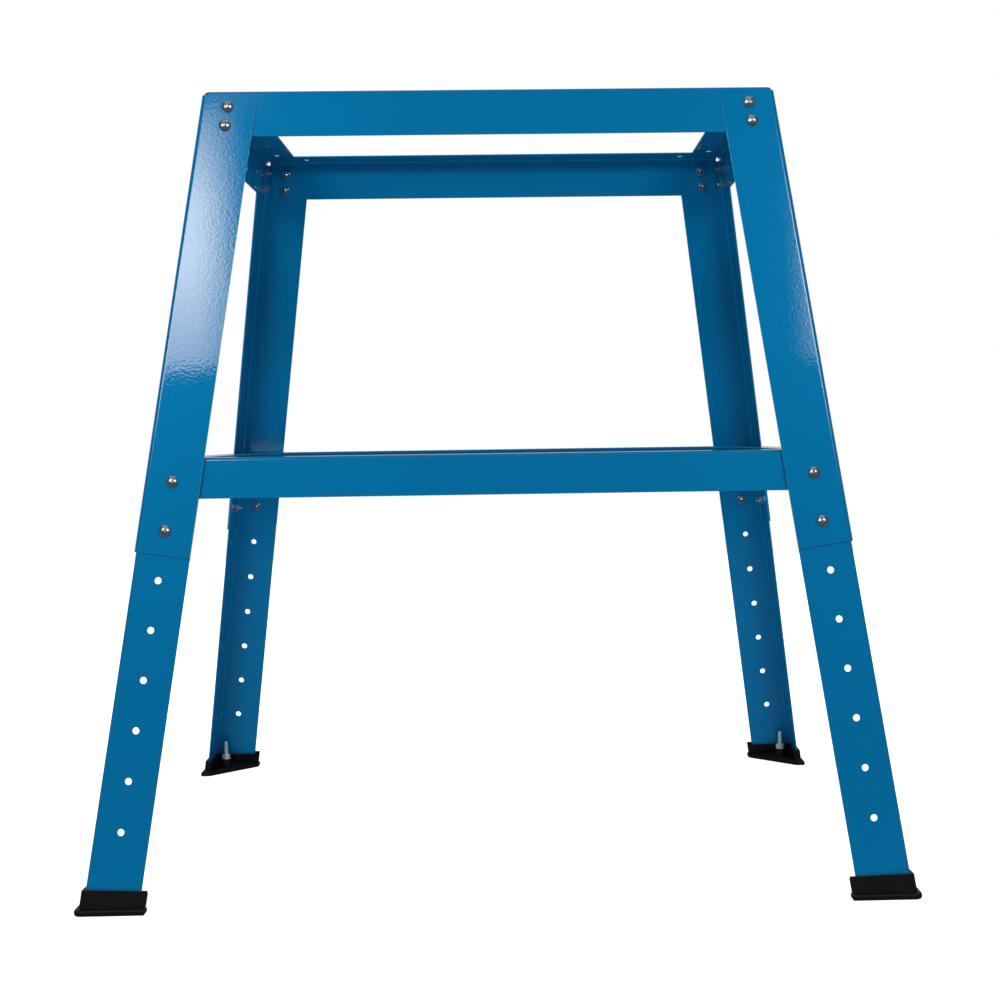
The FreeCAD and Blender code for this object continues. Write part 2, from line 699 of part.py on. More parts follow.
def pan_screw(name):
    """Cross-recessed pan-head screw: the head bears on Z = 0, and the shank runs up Z."""
    body = new_body(name)
    profile = new_sketch(body, f"{name}_profile", "XZ_Plane")
    shank = "(Sizes.thread_diameter / 2)"
    head = "(Sizes.screw_head_diameter / 2)"
    corners = [
        ("0", "Sizes.screw_length"),
        (f"{shank} - Sizes.screw_point", "Sizes.screw_length"),
        (shank, "Sizes.screw_length - Sizes.screw_point"),
        (shank, "0"),
        (head, "0"),
        (head, "-Sizes.screw_rim"),
    ]
    points = [FreeCAD.Vector(value(across), value(up), 0) for across, up in corners]
    for i, (start, stop) in enumerate(zip(points, points[1:])):
        profile.addGeometry(Part.LineSegment(start, stop), False)
        if i:
            profile.addConstraint(Sketcher.Constraint("Coincident", i - 1, 2, i, 1))
        place_point(profile, i, 1, f"corner{i}", *corners[i])
    rim_edge = len(points) - 2
    place_point(profile, rim_edge, 2, "rim", *corners[-1])
    crown = FreeCAD.Vector(0, -value("Sizes.screw_head_height"), 0)
    rise = value("Sizes.screw_head_height - Sizes.screw_rim")
    half_head = value(head)
    dome_radius = (half_head ** 2 + rise ** 2) / (2 * rise)
    dome_centre = crown + FreeCAD.Vector(0, dome_radius, 0)
    half_angle = math.asin(half_head / dome_radius) / 2
    on_dome = dome_centre + FreeCAD.Vector(math.sin(half_angle), -math.cos(half_angle), 0) * dome_radius
    dome = profile.addGeometry(Part.Arc(points[-1], on_dome, crown), False)
    axis = profile.addGeometry(Part.LineSegment(crown, points[0]), False)
    rim_end = 1 if profile.getPoint(dome, 1).distanceToPoint(points[-1]) < NEAR else 2
    profile.addConstraint(Sketcher.Constraint("Coincident", rim_edge, 2, dome, rim_end))
    profile.addConstraint(Sketcher.Constraint("Coincident", dome, 3 - rim_end, axis, 1))
    profile.addConstraint(Sketcher.Constraint("Coincident", axis, 2, 0, 1))
    profile.addConstraint(Sketcher.Constraint("PointOnObject", dome, 3, -2))
    place_point(profile, axis, 1, "crown", "0", "-Sizes.screw_head_height")
    turned = body.newObject("PartDesign::Revolution", f"{name}_turned")
    turned.Profile = profile
    turned.ReferenceAxis = (profile, ["V_Axis"])

    cross = new_sketch(body, f"{name}_cross", "XY_Plane")
    cross.setExpression("AttachmentOffset.Base.z", "-Sizes.screw_head_height")
    arm = "Sizes.cross_length / 2"
    side = "Sizes.cross_width / 2"
    add_outline(cross, "cross", [
        (arm, f"-{side}"), (arm, side), (side, side), (side, arm), (f"-{side}", arm), (f"-{side}", side),
        (f"-{arm}", side), (f"-{arm}", f"-{side}"), (f"-{side}", f"-{side}"), (f"-{side}", f"-{arm}"),
        (side, f"-{arm}"), (side, f"-{side}"),
    ])
    body.Tip = cut_to_depth(body, cross, "Sizes.cross_depth", along_normal=True)
    return body


def hex_nut(name):
    """Plain hexagon nut, standing on Z = 0."""
    body = new_body(name)
    ring = new_sketch(body, f"{name}_ring", "XY_Plane")
    add_hexagon(ring, "nut", "Sizes.nut_flats")
    add_circle(ring, "thread", "0", "0", "Sizes.thread_diameter + 2 * Sizes.thread_gap")
    body.Tip = pad(body, ring, "Sizes.nut_height")
    return body


def hex_screw(name):
    """Hexagon-head screw: the head bears on Z = 0, and the shank runs up Z."""
    body = new_body(name)
    head = new_sketch(body, f"{name}_head", "XY_Plane")
    add_hexagon(head, "head", "Sizes.nut_flats")
    pad(body, head, "Sizes.foot_head_height", upward=False)
    shank = new_sketch(body, f"{name}_shank", "XY_Plane")
    add_circle(shank, "shank", "0", "0", "Sizes.thread_diameter")
    body.Tip = pad(body, shank, "Sizes.foot_screw_length")
    return body


def flat_washer(name):
    body = new_body(name)
    ring = new_sketch(body, f"{name}_ring", "XY_Plane")
    add_circle(ring, "rim", "0", "0", "Sizes.washer_diameter")
    add_circle(ring, "hole", "0", "0", "Sizes.washer_hole")
    body.Tip = pad(body, ring, "Sizes.washer_thickness")
    return body


def fastener_group(name, pattern, turns, drops, depth):
    """Copies of one screw or nut, one in each flange of a corner's leg at each of the drops.

    Depth is how far in from the upper leg's outer face each copy stands.
    """
    frame = leg_frame(turns)
    inset = value("Sizes.hole_inset")
    along_second = FreeCAD.Vector(value("Splay.fold_cosine"), value("Splay.fold_sine"), 0)
    into_second = FreeCAD.Vector(along_second.y, -along_second.x, 0)
    flanges = [
        (FreeCAD.Vector(1, 0, 0), FreeCAD.Vector(0, 1, 0)),
        (along_second, into_second),
    ]
    copies = []
    for along, inwards in flanges:
        for drop in drops:
            place = along * inset + inwards * value(depth) - FreeCAD.Vector(0, 0, value(drop))
            rotation = FreeCAD.Rotation(FreeCAD.Vector(0, 0, 1), inwards)
            copy = doc.addObject("App::Link", f"{name}_copy")
            copy.LinkedObject = pattern
            copy.LinkPlacement = frame * FreeCAD.Placement(place, rotation)
            copies.append(copy)
    group = doc.addObject("Part::Compound", name)
    group.Label = name
    group.Links = copies
    return group


def foot_fastener(body, turns, height):
    inset = value("Sizes.boss_inset")
    place = FreeCAD.Vector(inset, inset, value(height))
    body.Placement = floor_frame(turns) * FreeCAD.Placement(place, FreeCAD.Rotation())
    return body


# ---------------------------------------------------------------- assembly

parts = []

for side, (face, turns) in {
    "front": (FRONT_FACE, 0),
    "right": (SIDE_FACE, 1),
    "rear": (FRONT_FACE, 2),
    "left": (SIDE_FACE, 3),
}.items():
    parts.append(rail(f"top_rail_{side}", face, TOP_RAIL, turns))
    parts.append(rail(f"lower_rail_{side}", face, LOWER_RAIL, turns))

screw_pattern = pan_screw("pan_screw_pattern")
nut_pattern = hex_nut("hex_nut_pattern")

TOP_DROPS = ["Sizes.top_hole_first", "Sizes.top_hole_second"]
RAIL_DROPS = ["Sizes.lock_hole_first"]
LOCK_DROPS = ["Sizes.lock_hole_first + Sizes.lock_hole_pitch"]
TOP_STACK = "Sizes.leg_sheet + Sizes.rail_sheet"
RAIL_STACK = "2 * Splay.nest_back + Sizes.rail_sheet"
LOCK_STACK = "2 * Splay.nest_back"

for corner, turns in CORNERS.items():
    parts.append(upper_leg(f"upper_leg_{corner}", turns))
    parts.append(lower_leg(f"lower_leg_{corner}", turns))
    parts.append(foot_shoe(f"foot_shoe_{corner}", turns))
    parts.append(foot_fastener(hex_screw(f"foot_screw_{corner}"), turns, "Sizes.recess_depth"))
    parts.append(foot_fastener(flat_washer(f"foot_washer_{corner}"), turns, "Sizes.boss_height"))
    parts.append(foot_fastener(hex_nut(f"foot_nut_{corner}"), turns,
                               "Sizes.boss_height + Sizes.washer_thickness"))
    for use, drops, stack in (
        ("top", TOP_DROPS, TOP_STACK),
        ("rail", RAIL_DROPS, RAIL_STACK),
        ("lock", LOCK_DROPS, LOCK_STACK),
    ):
        parts.append(fastener_group(f"{use}_screws_{corner}", screw_pattern, turns, drops, "0"))
        parts.append(fastener_group(f"{use}_nuts_{corner}", nut_pattern, turns, drops, stack))

doc.recompute()

# ---------------------------------------------------------------- checks and export

for item in doc.Objects:
    if "Invalid" in item.State or "Error" in item.State:
        raise RuntimeError(f"{item.Name} failed: {item.State}")
    if item.TypeId == "PartDesign::Pocket" and item.Shape.Volume >= item.BaseFeature.Shape.Volume:
        raise RuntimeError(f"{item.Name} cuts nothing")
for part in parts:
    if part.Shape.isNull() or not part.Shape.isValid():
        raise RuntimeError(f"{part.Label} has no valid shape")

os.makedirs("parts", exist_ok=True)
for part in parts:
    part.Shape.exportStep(f"parts/{part.Label}.step")
    print(f"{part.Label}: {len(part.Shape.Solids)} solids, {part.Shape.Volume:.0f} mm3")
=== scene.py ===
import math

import bmesh
import bpy
from mathutils import Matrix, Vector


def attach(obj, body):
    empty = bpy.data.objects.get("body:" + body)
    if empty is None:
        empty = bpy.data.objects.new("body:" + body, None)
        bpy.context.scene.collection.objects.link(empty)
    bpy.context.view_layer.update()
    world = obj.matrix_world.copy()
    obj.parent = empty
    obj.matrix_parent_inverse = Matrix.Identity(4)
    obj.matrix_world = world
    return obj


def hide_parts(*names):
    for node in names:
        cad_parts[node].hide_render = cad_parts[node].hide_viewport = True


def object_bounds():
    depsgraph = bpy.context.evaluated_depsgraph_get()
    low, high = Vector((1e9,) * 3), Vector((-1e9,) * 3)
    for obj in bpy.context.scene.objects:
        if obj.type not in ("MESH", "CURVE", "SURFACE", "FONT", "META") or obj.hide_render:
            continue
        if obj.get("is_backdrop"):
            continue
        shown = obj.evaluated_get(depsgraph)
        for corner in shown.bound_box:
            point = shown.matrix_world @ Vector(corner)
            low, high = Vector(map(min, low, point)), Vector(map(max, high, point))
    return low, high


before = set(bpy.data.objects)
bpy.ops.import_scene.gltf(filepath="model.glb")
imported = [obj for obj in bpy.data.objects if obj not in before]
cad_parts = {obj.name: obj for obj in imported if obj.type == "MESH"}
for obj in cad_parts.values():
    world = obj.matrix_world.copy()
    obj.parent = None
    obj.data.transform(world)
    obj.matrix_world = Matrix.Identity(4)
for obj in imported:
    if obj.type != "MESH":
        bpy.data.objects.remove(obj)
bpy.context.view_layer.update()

# ---------------------------------------------------------------- powder-coated sheets
# Eight rails and eight legs of 1.5 mm steel sheet, cut, punched and folded to an L. They are sprayed with a
# glossy blue powder and baked, which leaves a fine orange peel. A lighter blue is painted along the upper
# legs' rounded edges as a painted highlight, and inside the top rails' bolt holes as painted light.

coat_blue = (0.0003, 0.174, 0.418, 1)
coat_blue_thin = (0.0003, 0.165, 0.401, 1)
cloud_size = 0.11
peel_size = 0.0029
peel_height = 0.000028
# two lighter blues, in patches: the painted highlight on the upper legs' edges and painted light in the holes
edge_light_dim = (0.05, 0.36, 0.58, 1)
edge_light_bright = (0.26, 0.62, 0.80, 1)
patch_size = 0.004
edge_softness = 0.00035
highlight_edge_softness = 0.0007
hole_rim = 0.0036
facing_up = 0.9
same_point = 0.000002
mount_holes = {"front": ((-0.24, -0.188), (0.24, -0.188)), "rear": ((-0.24, 0.188), (0.24, 0.188)),
               "left": ((-0.273, -0.155), (-0.273, 0.155)), "right": ((0.273, -0.155), (0.273, 0.155))}

CORNERS = ("front_left", "front_right", "rear_right", "rear_left")
SIDES = ("front", "right", "rear", "left")


def start_material(name):
    """A new material, its tree and shader, and the piece's own coordinates for its textures."""
    material = bpy.data.materials.new(name)
    material.use_nodes = True
    tree = material.node_tree
    place = tree.nodes.new("ShaderNodeTexCoord")
    return material, tree, tree.nodes["Principled BSDF"], place.outputs["Object"]


def noise(tree, place, scale, detail=2):
    """Soft noise over the piece, from 0 to 1."""
    cloud = tree.nodes.new("ShaderNodeTexNoise")
    cloud.inputs["Scale"].default_value = scale
    cloud.inputs["Detail"].default_value = detail
    tree.links.new(place, cloud.inputs["Vector"])
    return cloud.outputs["Fac"]


def tint_by(tree, amount, colour, other, shader):
    """Colour a shader somewhere between two colours."""
    factor, first, second, result = 0, 6, 7, 2
    mix = tree.nodes.new("ShaderNodeMix")
    mix.data_type = "RGBA"
    mix.inputs[first].default_value = colour
    mix.inputs[second].default_value = other
    tree.links.new(amount, mix.inputs[factor])
    tree.links.new(mix.outputs[result], shader.inputs["Base Color"])


def bump_by(tree, height, depth, *normals):
    """Raise a surface by up to a depth."""
    bump = tree.nodes.new("ShaderNodeBump")
    bump.inputs["Strength"].default_value = 1
    bump.inputs["Distance"].default_value = depth
    tree.links.new(height, bump.inputs["Height"])
    for normal in normals:
        tree.links.new(bump.outputs["Normal"], normal)


def pick(piece):
    """Leave this piece alone selected and active."""
    bpy.ops.object.select_all(action="DESELECT")
    piece.select_set(True)
    bpy.context.view_layer.objects.active = piece


def skin_of(node, name):
    """A new piece from a CAD node, as one closed skin of flat faces."""
    same_plane = math.radians(0.3)
    piece = bpy.data.objects.new(name, node.data.copy())
    bpy.context.scene.collection.objects.link(piece)
    pick(piece)
    bpy.ops.object.mode_set(mode="EDIT")
    bpy.ops.mesh.select_all(action="SELECT")
    bpy.ops.mesh.remove_doubles(threshold=same_point)
    bpy.ops.mesh.dissolve_limited(angle_limit=same_plane)
    bpy.ops.object.mode_set(mode="OBJECT")
    return piece


def soften(piece, width, segments, sharp=40, edge_slot=-1):
    """Round every edge sharper than so many degrees, and shade smooth with the flat faces kept flat."""
    smooth_below = math.radians(35)
    bevel = piece.modifiers.new("soft_edges", "BEVEL")
    bevel.width = width
    bevel.segments = segments
    bevel.limit_method = "ANGLE"
    bevel.angle_limit = math.radians(sharp)
    bevel.miter_outer = "MITER_ARC"
    bevel.material = edge_slot
    pick(piece)
    bpy.ops.object.modifier_apply(modifier=bevel.name)
    bpy.ops.object.shade_smooth_by_angle(angle=smooth_below)
    flat = piece.modifiers.new("flat_faces", "WEIGHTED_NORMAL")
    flat.keep_sharp = True
    bpy.ops.object.modifier_apply(modifier=flat.name)


def finish_piece(piece, material, slot, body, *replaced):
    """Give a piece its main material, and set it on its body in place of the CAD nodes."""
    if piece.data.materials:
        piece.data.materials[0] = material
    else:
        piece.data.materials.append(material)
    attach(piece, body)
    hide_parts(*replaced)


coat, tree, shader, place = start_material("blue_powder_coat")
shader.inputs["Metallic"].default_value = 0.22
shader.inputs["Roughness"].default_value = 0.42
shader.inputs["Specular IOR Level"].default_value = 0.0
shader.inputs["Coat Weight"].default_value = 1.0
shader.inputs["Coat Roughness"].default_value = 0.04
shader.inputs["Coat IOR"].default_value = 1.5
tint_by(tree, noise(tree, place, 1 / cloud_size), coat_blue_thin, coat_blue, shader)
peel = noise(tree, place, 1 / peel_size, 1)
bump_by(tree, peel, peel_height, shader.inputs["Normal"], shader.inputs["Coat Normal"])

# painted highlight: the lighter blues mixed in patches, with a little bump from the same patches
painted_light_coat, tree, shader, place = start_material("painted_edge_light")
shader.inputs["Metallic"].default_value = 0.3
shader.inputs["Roughness"].default_value = 0.34
patches = noise(tree, place, 1 / patch_size, 3)
tint_by(tree, patches, edge_light_dim, edge_light_bright, shader)
bump_by(tree, patches, peel_height, shader.inputs["Normal"])

sheets = {f"{kind}_rail_{side}": "frame" for kind in ("top", "lower") for side in SIDES}
sheets |= {f"upper_leg_{corner}": "frame" for corner in CORNERS}
sheets |= {f"lower_leg_{corner}": f"lower_leg_{corner}_assembly" for corner in CORNERS}
for name, body in sheets.items():
    sheet = skin_of(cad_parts[name], f"{name}_sheet")
    sheet.data.materials.append(painted_light_coat)
    # the upper legs' wider rounded edges take the painted highlight in the second slot
    if name.startswith("upper_leg"):
        soften(sheet, highlight_edge_softness, 3, edge_slot=1)
    else:
        soften(sheet, edge_softness, 2)
    # painted light: the walls and rims of the top rails' bolt holes take the same lighter blue
    for hole in mount_holes[name.removeprefix("top_rail_")] if name.startswith("top_rail") else ():
        for face in sheet.data.polygons:
            if face.normal.z < facing_up and (face.center.xy - Vector(hole)).length < hole_rim:
                face.material_index = 1
    finish_piece(sheet, coat, "blue_powder_coat", body, name)

# ---------------------------------------------------------------- pan-head screws
# M6 screws with a pan head and a cross recess, cold-headed from steel wire, thread-rolled and zinc-plated.
# Thirty-two of them hold the legs to the rails and the lower legs at their height, heads outwards.

thread_radius = 0.00295
thread_pitch = 0.001
thread_steps = 20
thread_same_point = 0.000001
lead_in = 0.0005
lead_in_taper = 0.84
screw_length = 0.012
shank_top = -0.0004
head_radius = 0.006
head_height = 0.0038
head_rim = 0.0012
collar_depth = 0.0006
collar_taper = 0.0002
rim_chamfer = 0.0003
head_steps = 40
dome_steps = 8
recess_reach = 0.0031
recess_width = 0.0013
recess_depth = 0.0021
recess_floor = (0.35, 0.8, 1)
blade_overshoot = 0.0004
head_smooth_below = 28
front_lean = 0.164634
side_lean = 0.142073
screw_turn, screw_turn_by_corner, screw_turn_by_group = 11, 53, 29
turn_by_copy = 37
zinc_clouds = 420
zinc_smooth, zinc_rough = 0.16, 0.32
zinc_bump = 0.000012


def feed(tree, value, slot):
    """Lead another node's output into a socket, or set the socket to a number."""
    if isinstance(value, bpy.types.NodeSocket):
        tree.links.new(value, slot)
    else:
        slot.default_value = value


def ramp(tree, value, start, end, low=0.0, high=1.0, smooth=False):
    """Run from low to high while a value runs from start to end."""
    node = tree.nodes.new("ShaderNodeMapRange")
    if smooth:
        node.interpolation_type = "SMOOTHSTEP"
    for name, number in (("Value", value), ("From Min", start), ("From Max", end),
                         ("To Min", low), ("To Max", high)):
        feed(tree, number, node.inputs[name])
    return node.outputs["Result"]


def zinc_plate(name, metallic, dark, light):
    """Zinc plate, a little cloudy in its colour and gloss."""
    material, tree, shader, place = start_material(name)
    shader.inputs["Metallic"].default_value = metallic
    clouds = noise(tree, place, zinc_clouds, 3)
    tint_by(tree, clouds, dark, light, shader)
    feed(tree, ramp(tree, clouds, 0, 1, zinc_smooth, zinc_rough), shader.inputs["Roughness"])
    bump_by(tree, clouds, zinc_bump, shader.inputs["Normal"])
    return material


def choose(piece, test, kind="VERT"):
    """In edit mode, select the points, edges or faces whose points all pass the test."""
    bpy.ops.mesh.select_mode(type=kind)
    bpy.ops.mesh.select_all(action="DESELECT")
    skin = bmesh.from_edit_mesh(piece.data)
    for item in {"VERT": skin.verts, "EDGE": skin.edges, "FACE": skin.faces}[kind]:
        points = [item.co] if kind == "VERT" else [corner.co for corner in item.verts]
        if all(test(point) for point in points):
            item.select_set(True)
    bmesh.update_edit_mesh(piece.data)


def combine(piece, tool, operation):
    """Join a tool to a piece or cut it out of the piece, and put the tool away."""
    change = piece.modifiers.new("shape", "BOOLEAN")
    change.operation = operation
    change.object = tool
    change.solver = "EXACT"
    pick(piece)
    bpy.ops.object.modifier_apply(modifier=change.name)
    bpy.data.objects.remove(tool)


def threaded_rod(name, low, high):
    """A V thread about Z from low to high: one V, wound up the rod, then cut off square at both ends."""
    depth = thread_pitch / 2
    turns = math.ceil((high - low) / thread_pitch) + 2
    # a little over one pitch below, so that no point of the winding lies in the plane of a cut
    start = low - thread_pitch * 1.02
    bpy.ops.object.select_all(action="DESELECT")
    bpy.ops.mesh.primitive_circle_add(vertices=4, radius=depth, rotation=(math.radians(90), 0, 0),
                                      location=(thread_radius - depth, 0, start))
    rod = bpy.context.object
    rod.name = name
    bpy.ops.object.transform_apply(location=True, rotation=True, scale=True)
    bpy.ops.object.mode_set(mode="EDIT")
    choose(rod, lambda point: point.x < thread_radius - depth * 1.5)
    bpy.ops.mesh.delete(type="VERT")
    bpy.ops.object.mode_set(mode="OBJECT")
    winding = rod.modifiers.new("thread", "SCREW")
    winding.screw_offset = thread_pitch
    winding.iterations = turns
    winding.steps = winding.render_steps = thread_steps
    winding.use_merge_vertices = True
    winding.merge_threshold = same_point
    bpy.ops.object.modifier_apply(modifier=winding.name)
    bpy.ops.object.mode_set(mode="EDIT")
    for height, top in ((low, False), (high, True)):
        bpy.ops.mesh.select_all(action="SELECT")
        bpy.ops.mesh.bisect(plane_co=(0, 0, height), plane_no=(0, 0, 1), use_fill=True,
                            clear_outer=top, clear_inner=not top)
    bpy.ops.mesh.select_all(action="SELECT")
    bpy.ops.mesh.remove_doubles(threshold=thread_same_point)
    bpy.ops.mesh.delete_loose()
    bpy.ops.mesh.select_all(action="SELECT")
    bpy.ops.mesh.normals_make_consistent(inside=False)
    bpy.ops.object.mode_set(mode="OBJECT")
    return rod


def draw_in(rod, test):
    """Draw in the end of a threaded rod, so that a nut starts on it."""
    bpy.ops.object.mode_set(mode="EDIT")
    choose(rod, test)
    bpy.ops.transform.resize(value=(lead_in_taper, lead_in_taper, 1))
    bpy.ops.object.mode_set(mode="OBJECT")


def turned(name, profile, steps):
    """A closed round shape about Z, spun from (radius, height) points that start and end on Z."""
    bpy.ops.object.select_all(action="DESELECT")
    bpy.ops.mesh.primitive_plane_add(size=0.001)
    piece = bpy.context.object
    piece.name = name
    bpy.ops.object.mode_set(mode="EDIT")
    bpy.ops.mesh.select_all(action="SELECT")
    bpy.ops.mesh.merge(type="CENTER")
    bpy.ops.transform.translate(value=(profile[0][0], 0, profile[0][1]))
    for (radius, height), (next_radius, next_height) in zip(profile, profile[1:]):
        step = (next_radius - radius, 0, next_height - height)
        bpy.ops.mesh.extrude_region_move(TRANSFORM_OT_translate={"value": step})
    bpy.ops.mesh.select_all(action="SELECT")
    bpy.ops.mesh.spin(steps=steps, angle=math.radians(360), center=(0, 0, 0), axis=(0, 0, 1))
    bpy.ops.mesh.select_all(action="SELECT")
    bpy.ops.mesh.remove_doubles(threshold=same_point)
    bpy.ops.mesh.normals_make_consistent(inside=False)
    bpy.ops.object.mode_set(mode="OBJECT")
    return piece


zinc = zinc_plate("zinc_plate", 0.96, (0.50, 0.63, 0.70, 1), (0.68, 0.79, 0.84, 1))

dome_rise = head_height - head_rim
dome_radius = (head_radius ** 2 + dome_rise ** 2) / (2 * dome_rise)
head_outline = [(0, -collar_depth), (thread_radius - collar_taper, -collar_depth), (thread_radius, 0),
                (head_radius - rim_chamfer, 0), (head_radius, rim_chamfer)]
for step in range(dome_steps + 1):
    turn = math.asin(head_radius / dome_radius) * (1 - step / dome_steps)
    head_outline.append((dome_radius * math.sin(turn), head_height - dome_radius * (1 - math.cos(turn))))
screw = turned("pan_screw", head_outline, head_steps)
for turn in (0, 90):
    bpy.ops.object.select_all(action="DESELECT")
    bpy.ops.mesh.primitive_cube_add(size=1, location=(0, 0, head_height - recess_depth / 2 + blade_overshoot),
                                    scale=(recess_reach * 2, recess_width, recess_depth + blade_overshoot * 2))
    blade = bpy.context.object
    bpy.ops.object.transform_apply(location=False, rotation=False, scale=True)
    bpy.ops.object.mode_set(mode="EDIT")
    choose(blade, lambda point: point.z < 0)
    bpy.ops.transform.resize(value=recess_floor)
    bpy.ops.object.mode_set(mode="OBJECT")
    blade.rotation_euler.z = math.radians(turn)
    combine(screw, blade, "DIFFERENCE")
bpy.ops.object.shade_smooth_by_angle(angle=math.radians(head_smooth_below))
shank = threaded_rod("shank", -screw_length, shank_top)
draw_in(shank, lambda point: point.z < lead_in - screw_length)
shank.select_set(True)
screw.select_set(True)
bpy.context.view_layer.objects.active = screw
bpy.ops.object.join()

outward = {"front": Vector((0, -1, front_lean)).normalized(), "rear": Vector((0, 1, front_lean)).normalized(),
           "left": Vector((-1, 0, side_lean)).normalized(), "right": Vector((1, 0, side_lean)).normalized()}


def fastener_places(group, corner):
    """Where each fastener of a CAD group stands: the top of its axis, and the way its flange faces."""
    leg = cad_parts[f"upper_leg_{corner}"].data.vertices
    ways = [outward[side] for side in corner.split("_")]
    outer = [max(way.dot(point.co) for point in leg) for way in ways]
    skin_of(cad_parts[f"{group}_{corner}"], "solids")
    bpy.ops.object.mode_set(mode="EDIT")
    bpy.ops.mesh.select_all(action="SELECT")
    bpy.ops.mesh.separate(type="LOOSE")
    bpy.ops.object.mode_set(mode="OBJECT")
    places = []
    for solid in list(bpy.context.selected_objects):
        points = [point.co for point in solid.data.vertices]
        middle = sum(points, Vector()) / len(points)
        way = min(zip(ways, outer), key=lambda face: face[1] - face[0].dot(middle))[0]
        across = way.cross(Vector((0, 0, 1))).normalized()
        along = way.cross(across)
        centre = Vector()
        for direction in (across, along):
            reach = [direction.dot(point) for point in points]
            centre += direction * (min(reach) + max(reach)) / 2
        centre += way * max(way.dot(point) for point in points)
        places.append((centre, Matrix((across, along, way)).transposed().to_4x4()))
        bpy.data.objects.remove(solid)
    return sorted(places, key=lambda spot: (-round(spot[0].z, 3), spot[0].x))


def set_fasteners(model, group, corner, top_to_seat, first_turn):
    """Copy a fastener to every place of its CAD group, each turned a little differently, as one piece."""
    copies = []
    for number, (top, facing) in enumerate(fastener_places(group, corner)):
        copy = bpy.data.objects.new(f"{group}_{corner}_{number}", model.data.copy())
        bpy.context.scene.collection.objects.link(copy)
        seat = top - facing.to_3x3().col[2] * top_to_seat
        turn = Matrix.Rotation(math.radians(first_turn + turn_by_copy * number), 4, "Z")
        copy.data.transform(Matrix.Translation(seat) @ facing @ turn)
        copies.append(copy)
    pick(copies[0])
    for copy in copies:
        copy.select_set(True)
    bpy.ops.object.join()
    piece = bpy.context.object
    piece.name = f"{group}_{corner}_zinc"
    finish_piece(piece, zinc, "zinc_plate", "frame", f"{group}_{corner}")


for number, corner in enumerate(CORNERS):
    for shift, group in enumerate(("top_screws", "rail_screws", "lock_screws")):
        turn = screw_turn + screw_turn_by_corner * number + screw_turn_by_group * shift
        set_fasteners(screw, group, corner, head_height, turn)
bpy.data.objects.remove(screw)

# ---------------------------------------------------------------- nuts
# Plain M6 hexagon nuts, 10 mm across the flats, zinc-plated, run up the screws inside the frame and pulled
# tight. Their corners are chamfered at both faces, and the thread's mouth is countersunk.

nut_flats = 0.010
nut_height = 0.005
nut_mouth = 0.0034
nut_softness = 0.00012
nut_sharp = 35
face_radius = nut_flats * 0.48
chamfer_steps, bore_steps = 48, 32
nut_turn, nut_turn_by_corner, nut_turn_by_group = 7, 41, 17


def cleaned(piece):
    """Merge the doubled points that a cut leaves, let flat neighbours be one face, and face all outwards."""
    doubled_point, same_plane = 0.000005, math.radians(0.5)
    pick(piece)
    bpy.ops.object.mode_set(mode="EDIT")
    bpy.ops.mesh.select_all(action="SELECT")
    bpy.ops.mesh.remove_doubles(threshold=doubled_point)
    bpy.ops.mesh.dissolve_limited(angle_limit=same_plane)
    bpy.ops.mesh.select_all(action="SELECT")
    bpy.ops.mesh.normals_make_consistent(inside=False)
    bpy.ops.object.mode_set(mode="OBJECT")


across_corners = nut_flats / math.cos(math.radians(30))
bpy.ops.object.select_all(action="DESELECT")
bpy.ops.mesh.primitive_cylinder_add(vertices=6, radius=across_corners / 2, depth=nut_height,
                                    location=(0, 0, -nut_height / 2))
nut = bpy.context.object
nut.name = "hex_nut"
bpy.ops.object.transform_apply(location=True, rotation=True, scale=True)

# the chamfer and the bore end past the nut's faces and corners, so that no cut lies in one of its planes
past_corner = across_corners / 2 + 0.0004
past_face = 0.0001
past_face_radius = face_radius - 0.00017
rise = (past_corner - face_radius) * math.tan(math.radians(30))
chamfer = turned("chamfer", [(0, -nut_height - past_face), (past_face_radius, -nut_height - past_face),
                             (past_corner, rise - nut_height), (past_corner, -rise),
                             (past_face_radius, past_face), (0, past_face)], chamfer_steps)
combine(nut, chamfer, "INTERSECT")
sink = nut_mouth - thread_radius
past_mouth = 0.001
bore = turned("bore", [(0, -nut_height - past_mouth), (nut_mouth + past_mouth, -nut_height - past_mouth),
                       (thread_radius, sink - nut_height), (thread_radius, -sink),
                       (nut_mouth + past_mouth, past_mouth), (0, past_mouth)], bore_steps)
combine(nut, bore, "DIFFERENCE")
cleaned(nut)
soften(nut, nut_softness, 2, nut_sharp)

for number, corner in enumerate(CORNERS):
    for shift, group in enumerate(("top_nuts", "rail_nuts", "lock_nuts")):
        turn = nut_turn + nut_turn_by_corner * number + nut_turn_by_group * shift
        set_fasteners(nut, group, corner, 0, turn)

# ---------------------------------------------------------------- foot screws, nuts and washers
# In each shoe an M6 hexagon screw stands up through the boss, its head in a recess under the shoe. A flat
# washer and a nut hold it down on the boss, and the rest of its thread stands free. Their zinc is duller.

foot_screw_at = Vector((-0.3895, -0.323, 0))
boss_top = 0.016
washer_thickness = 0.0016
washer_hole = 0.0032
washer_radius = 0.006
washer_softness = 0.00025
foot_head_top = 0.0052
foot_head_height = 0.004
foot_head_softness = 0.0003
foot_screw_top = foot_head_top + 0.035
foot_screw_sunk = 0.0005
foot_turn = 19

dull_zinc = zinc_plate("dull_zinc", 0.55, (0.60, 0.71, 0.74, 1), (0.80, 0.88, 0.88, 1))

foot_screw = threaded_rod("foot_screw", foot_head_top - foot_screw_sunk, foot_screw_top)
draw_in(foot_screw, lambda point: point.z > foot_screw_top - lead_in)
bpy.ops.object.select_all(action="DESELECT")
bpy.ops.mesh.primitive_cylinder_add(vertices=6, radius=across_corners / 2, depth=foot_head_height,
                                    location=(0, 0, foot_head_top - foot_head_height / 2))
foot_head = bpy.context.object
bpy.ops.object.transform_apply(location=True, rotation=True, scale=True)
soften(foot_head, foot_head_softness, 2)
foot_screw.select_set(True)
bpy.context.view_layer.objects.active = foot_screw
bpy.ops.object.join()

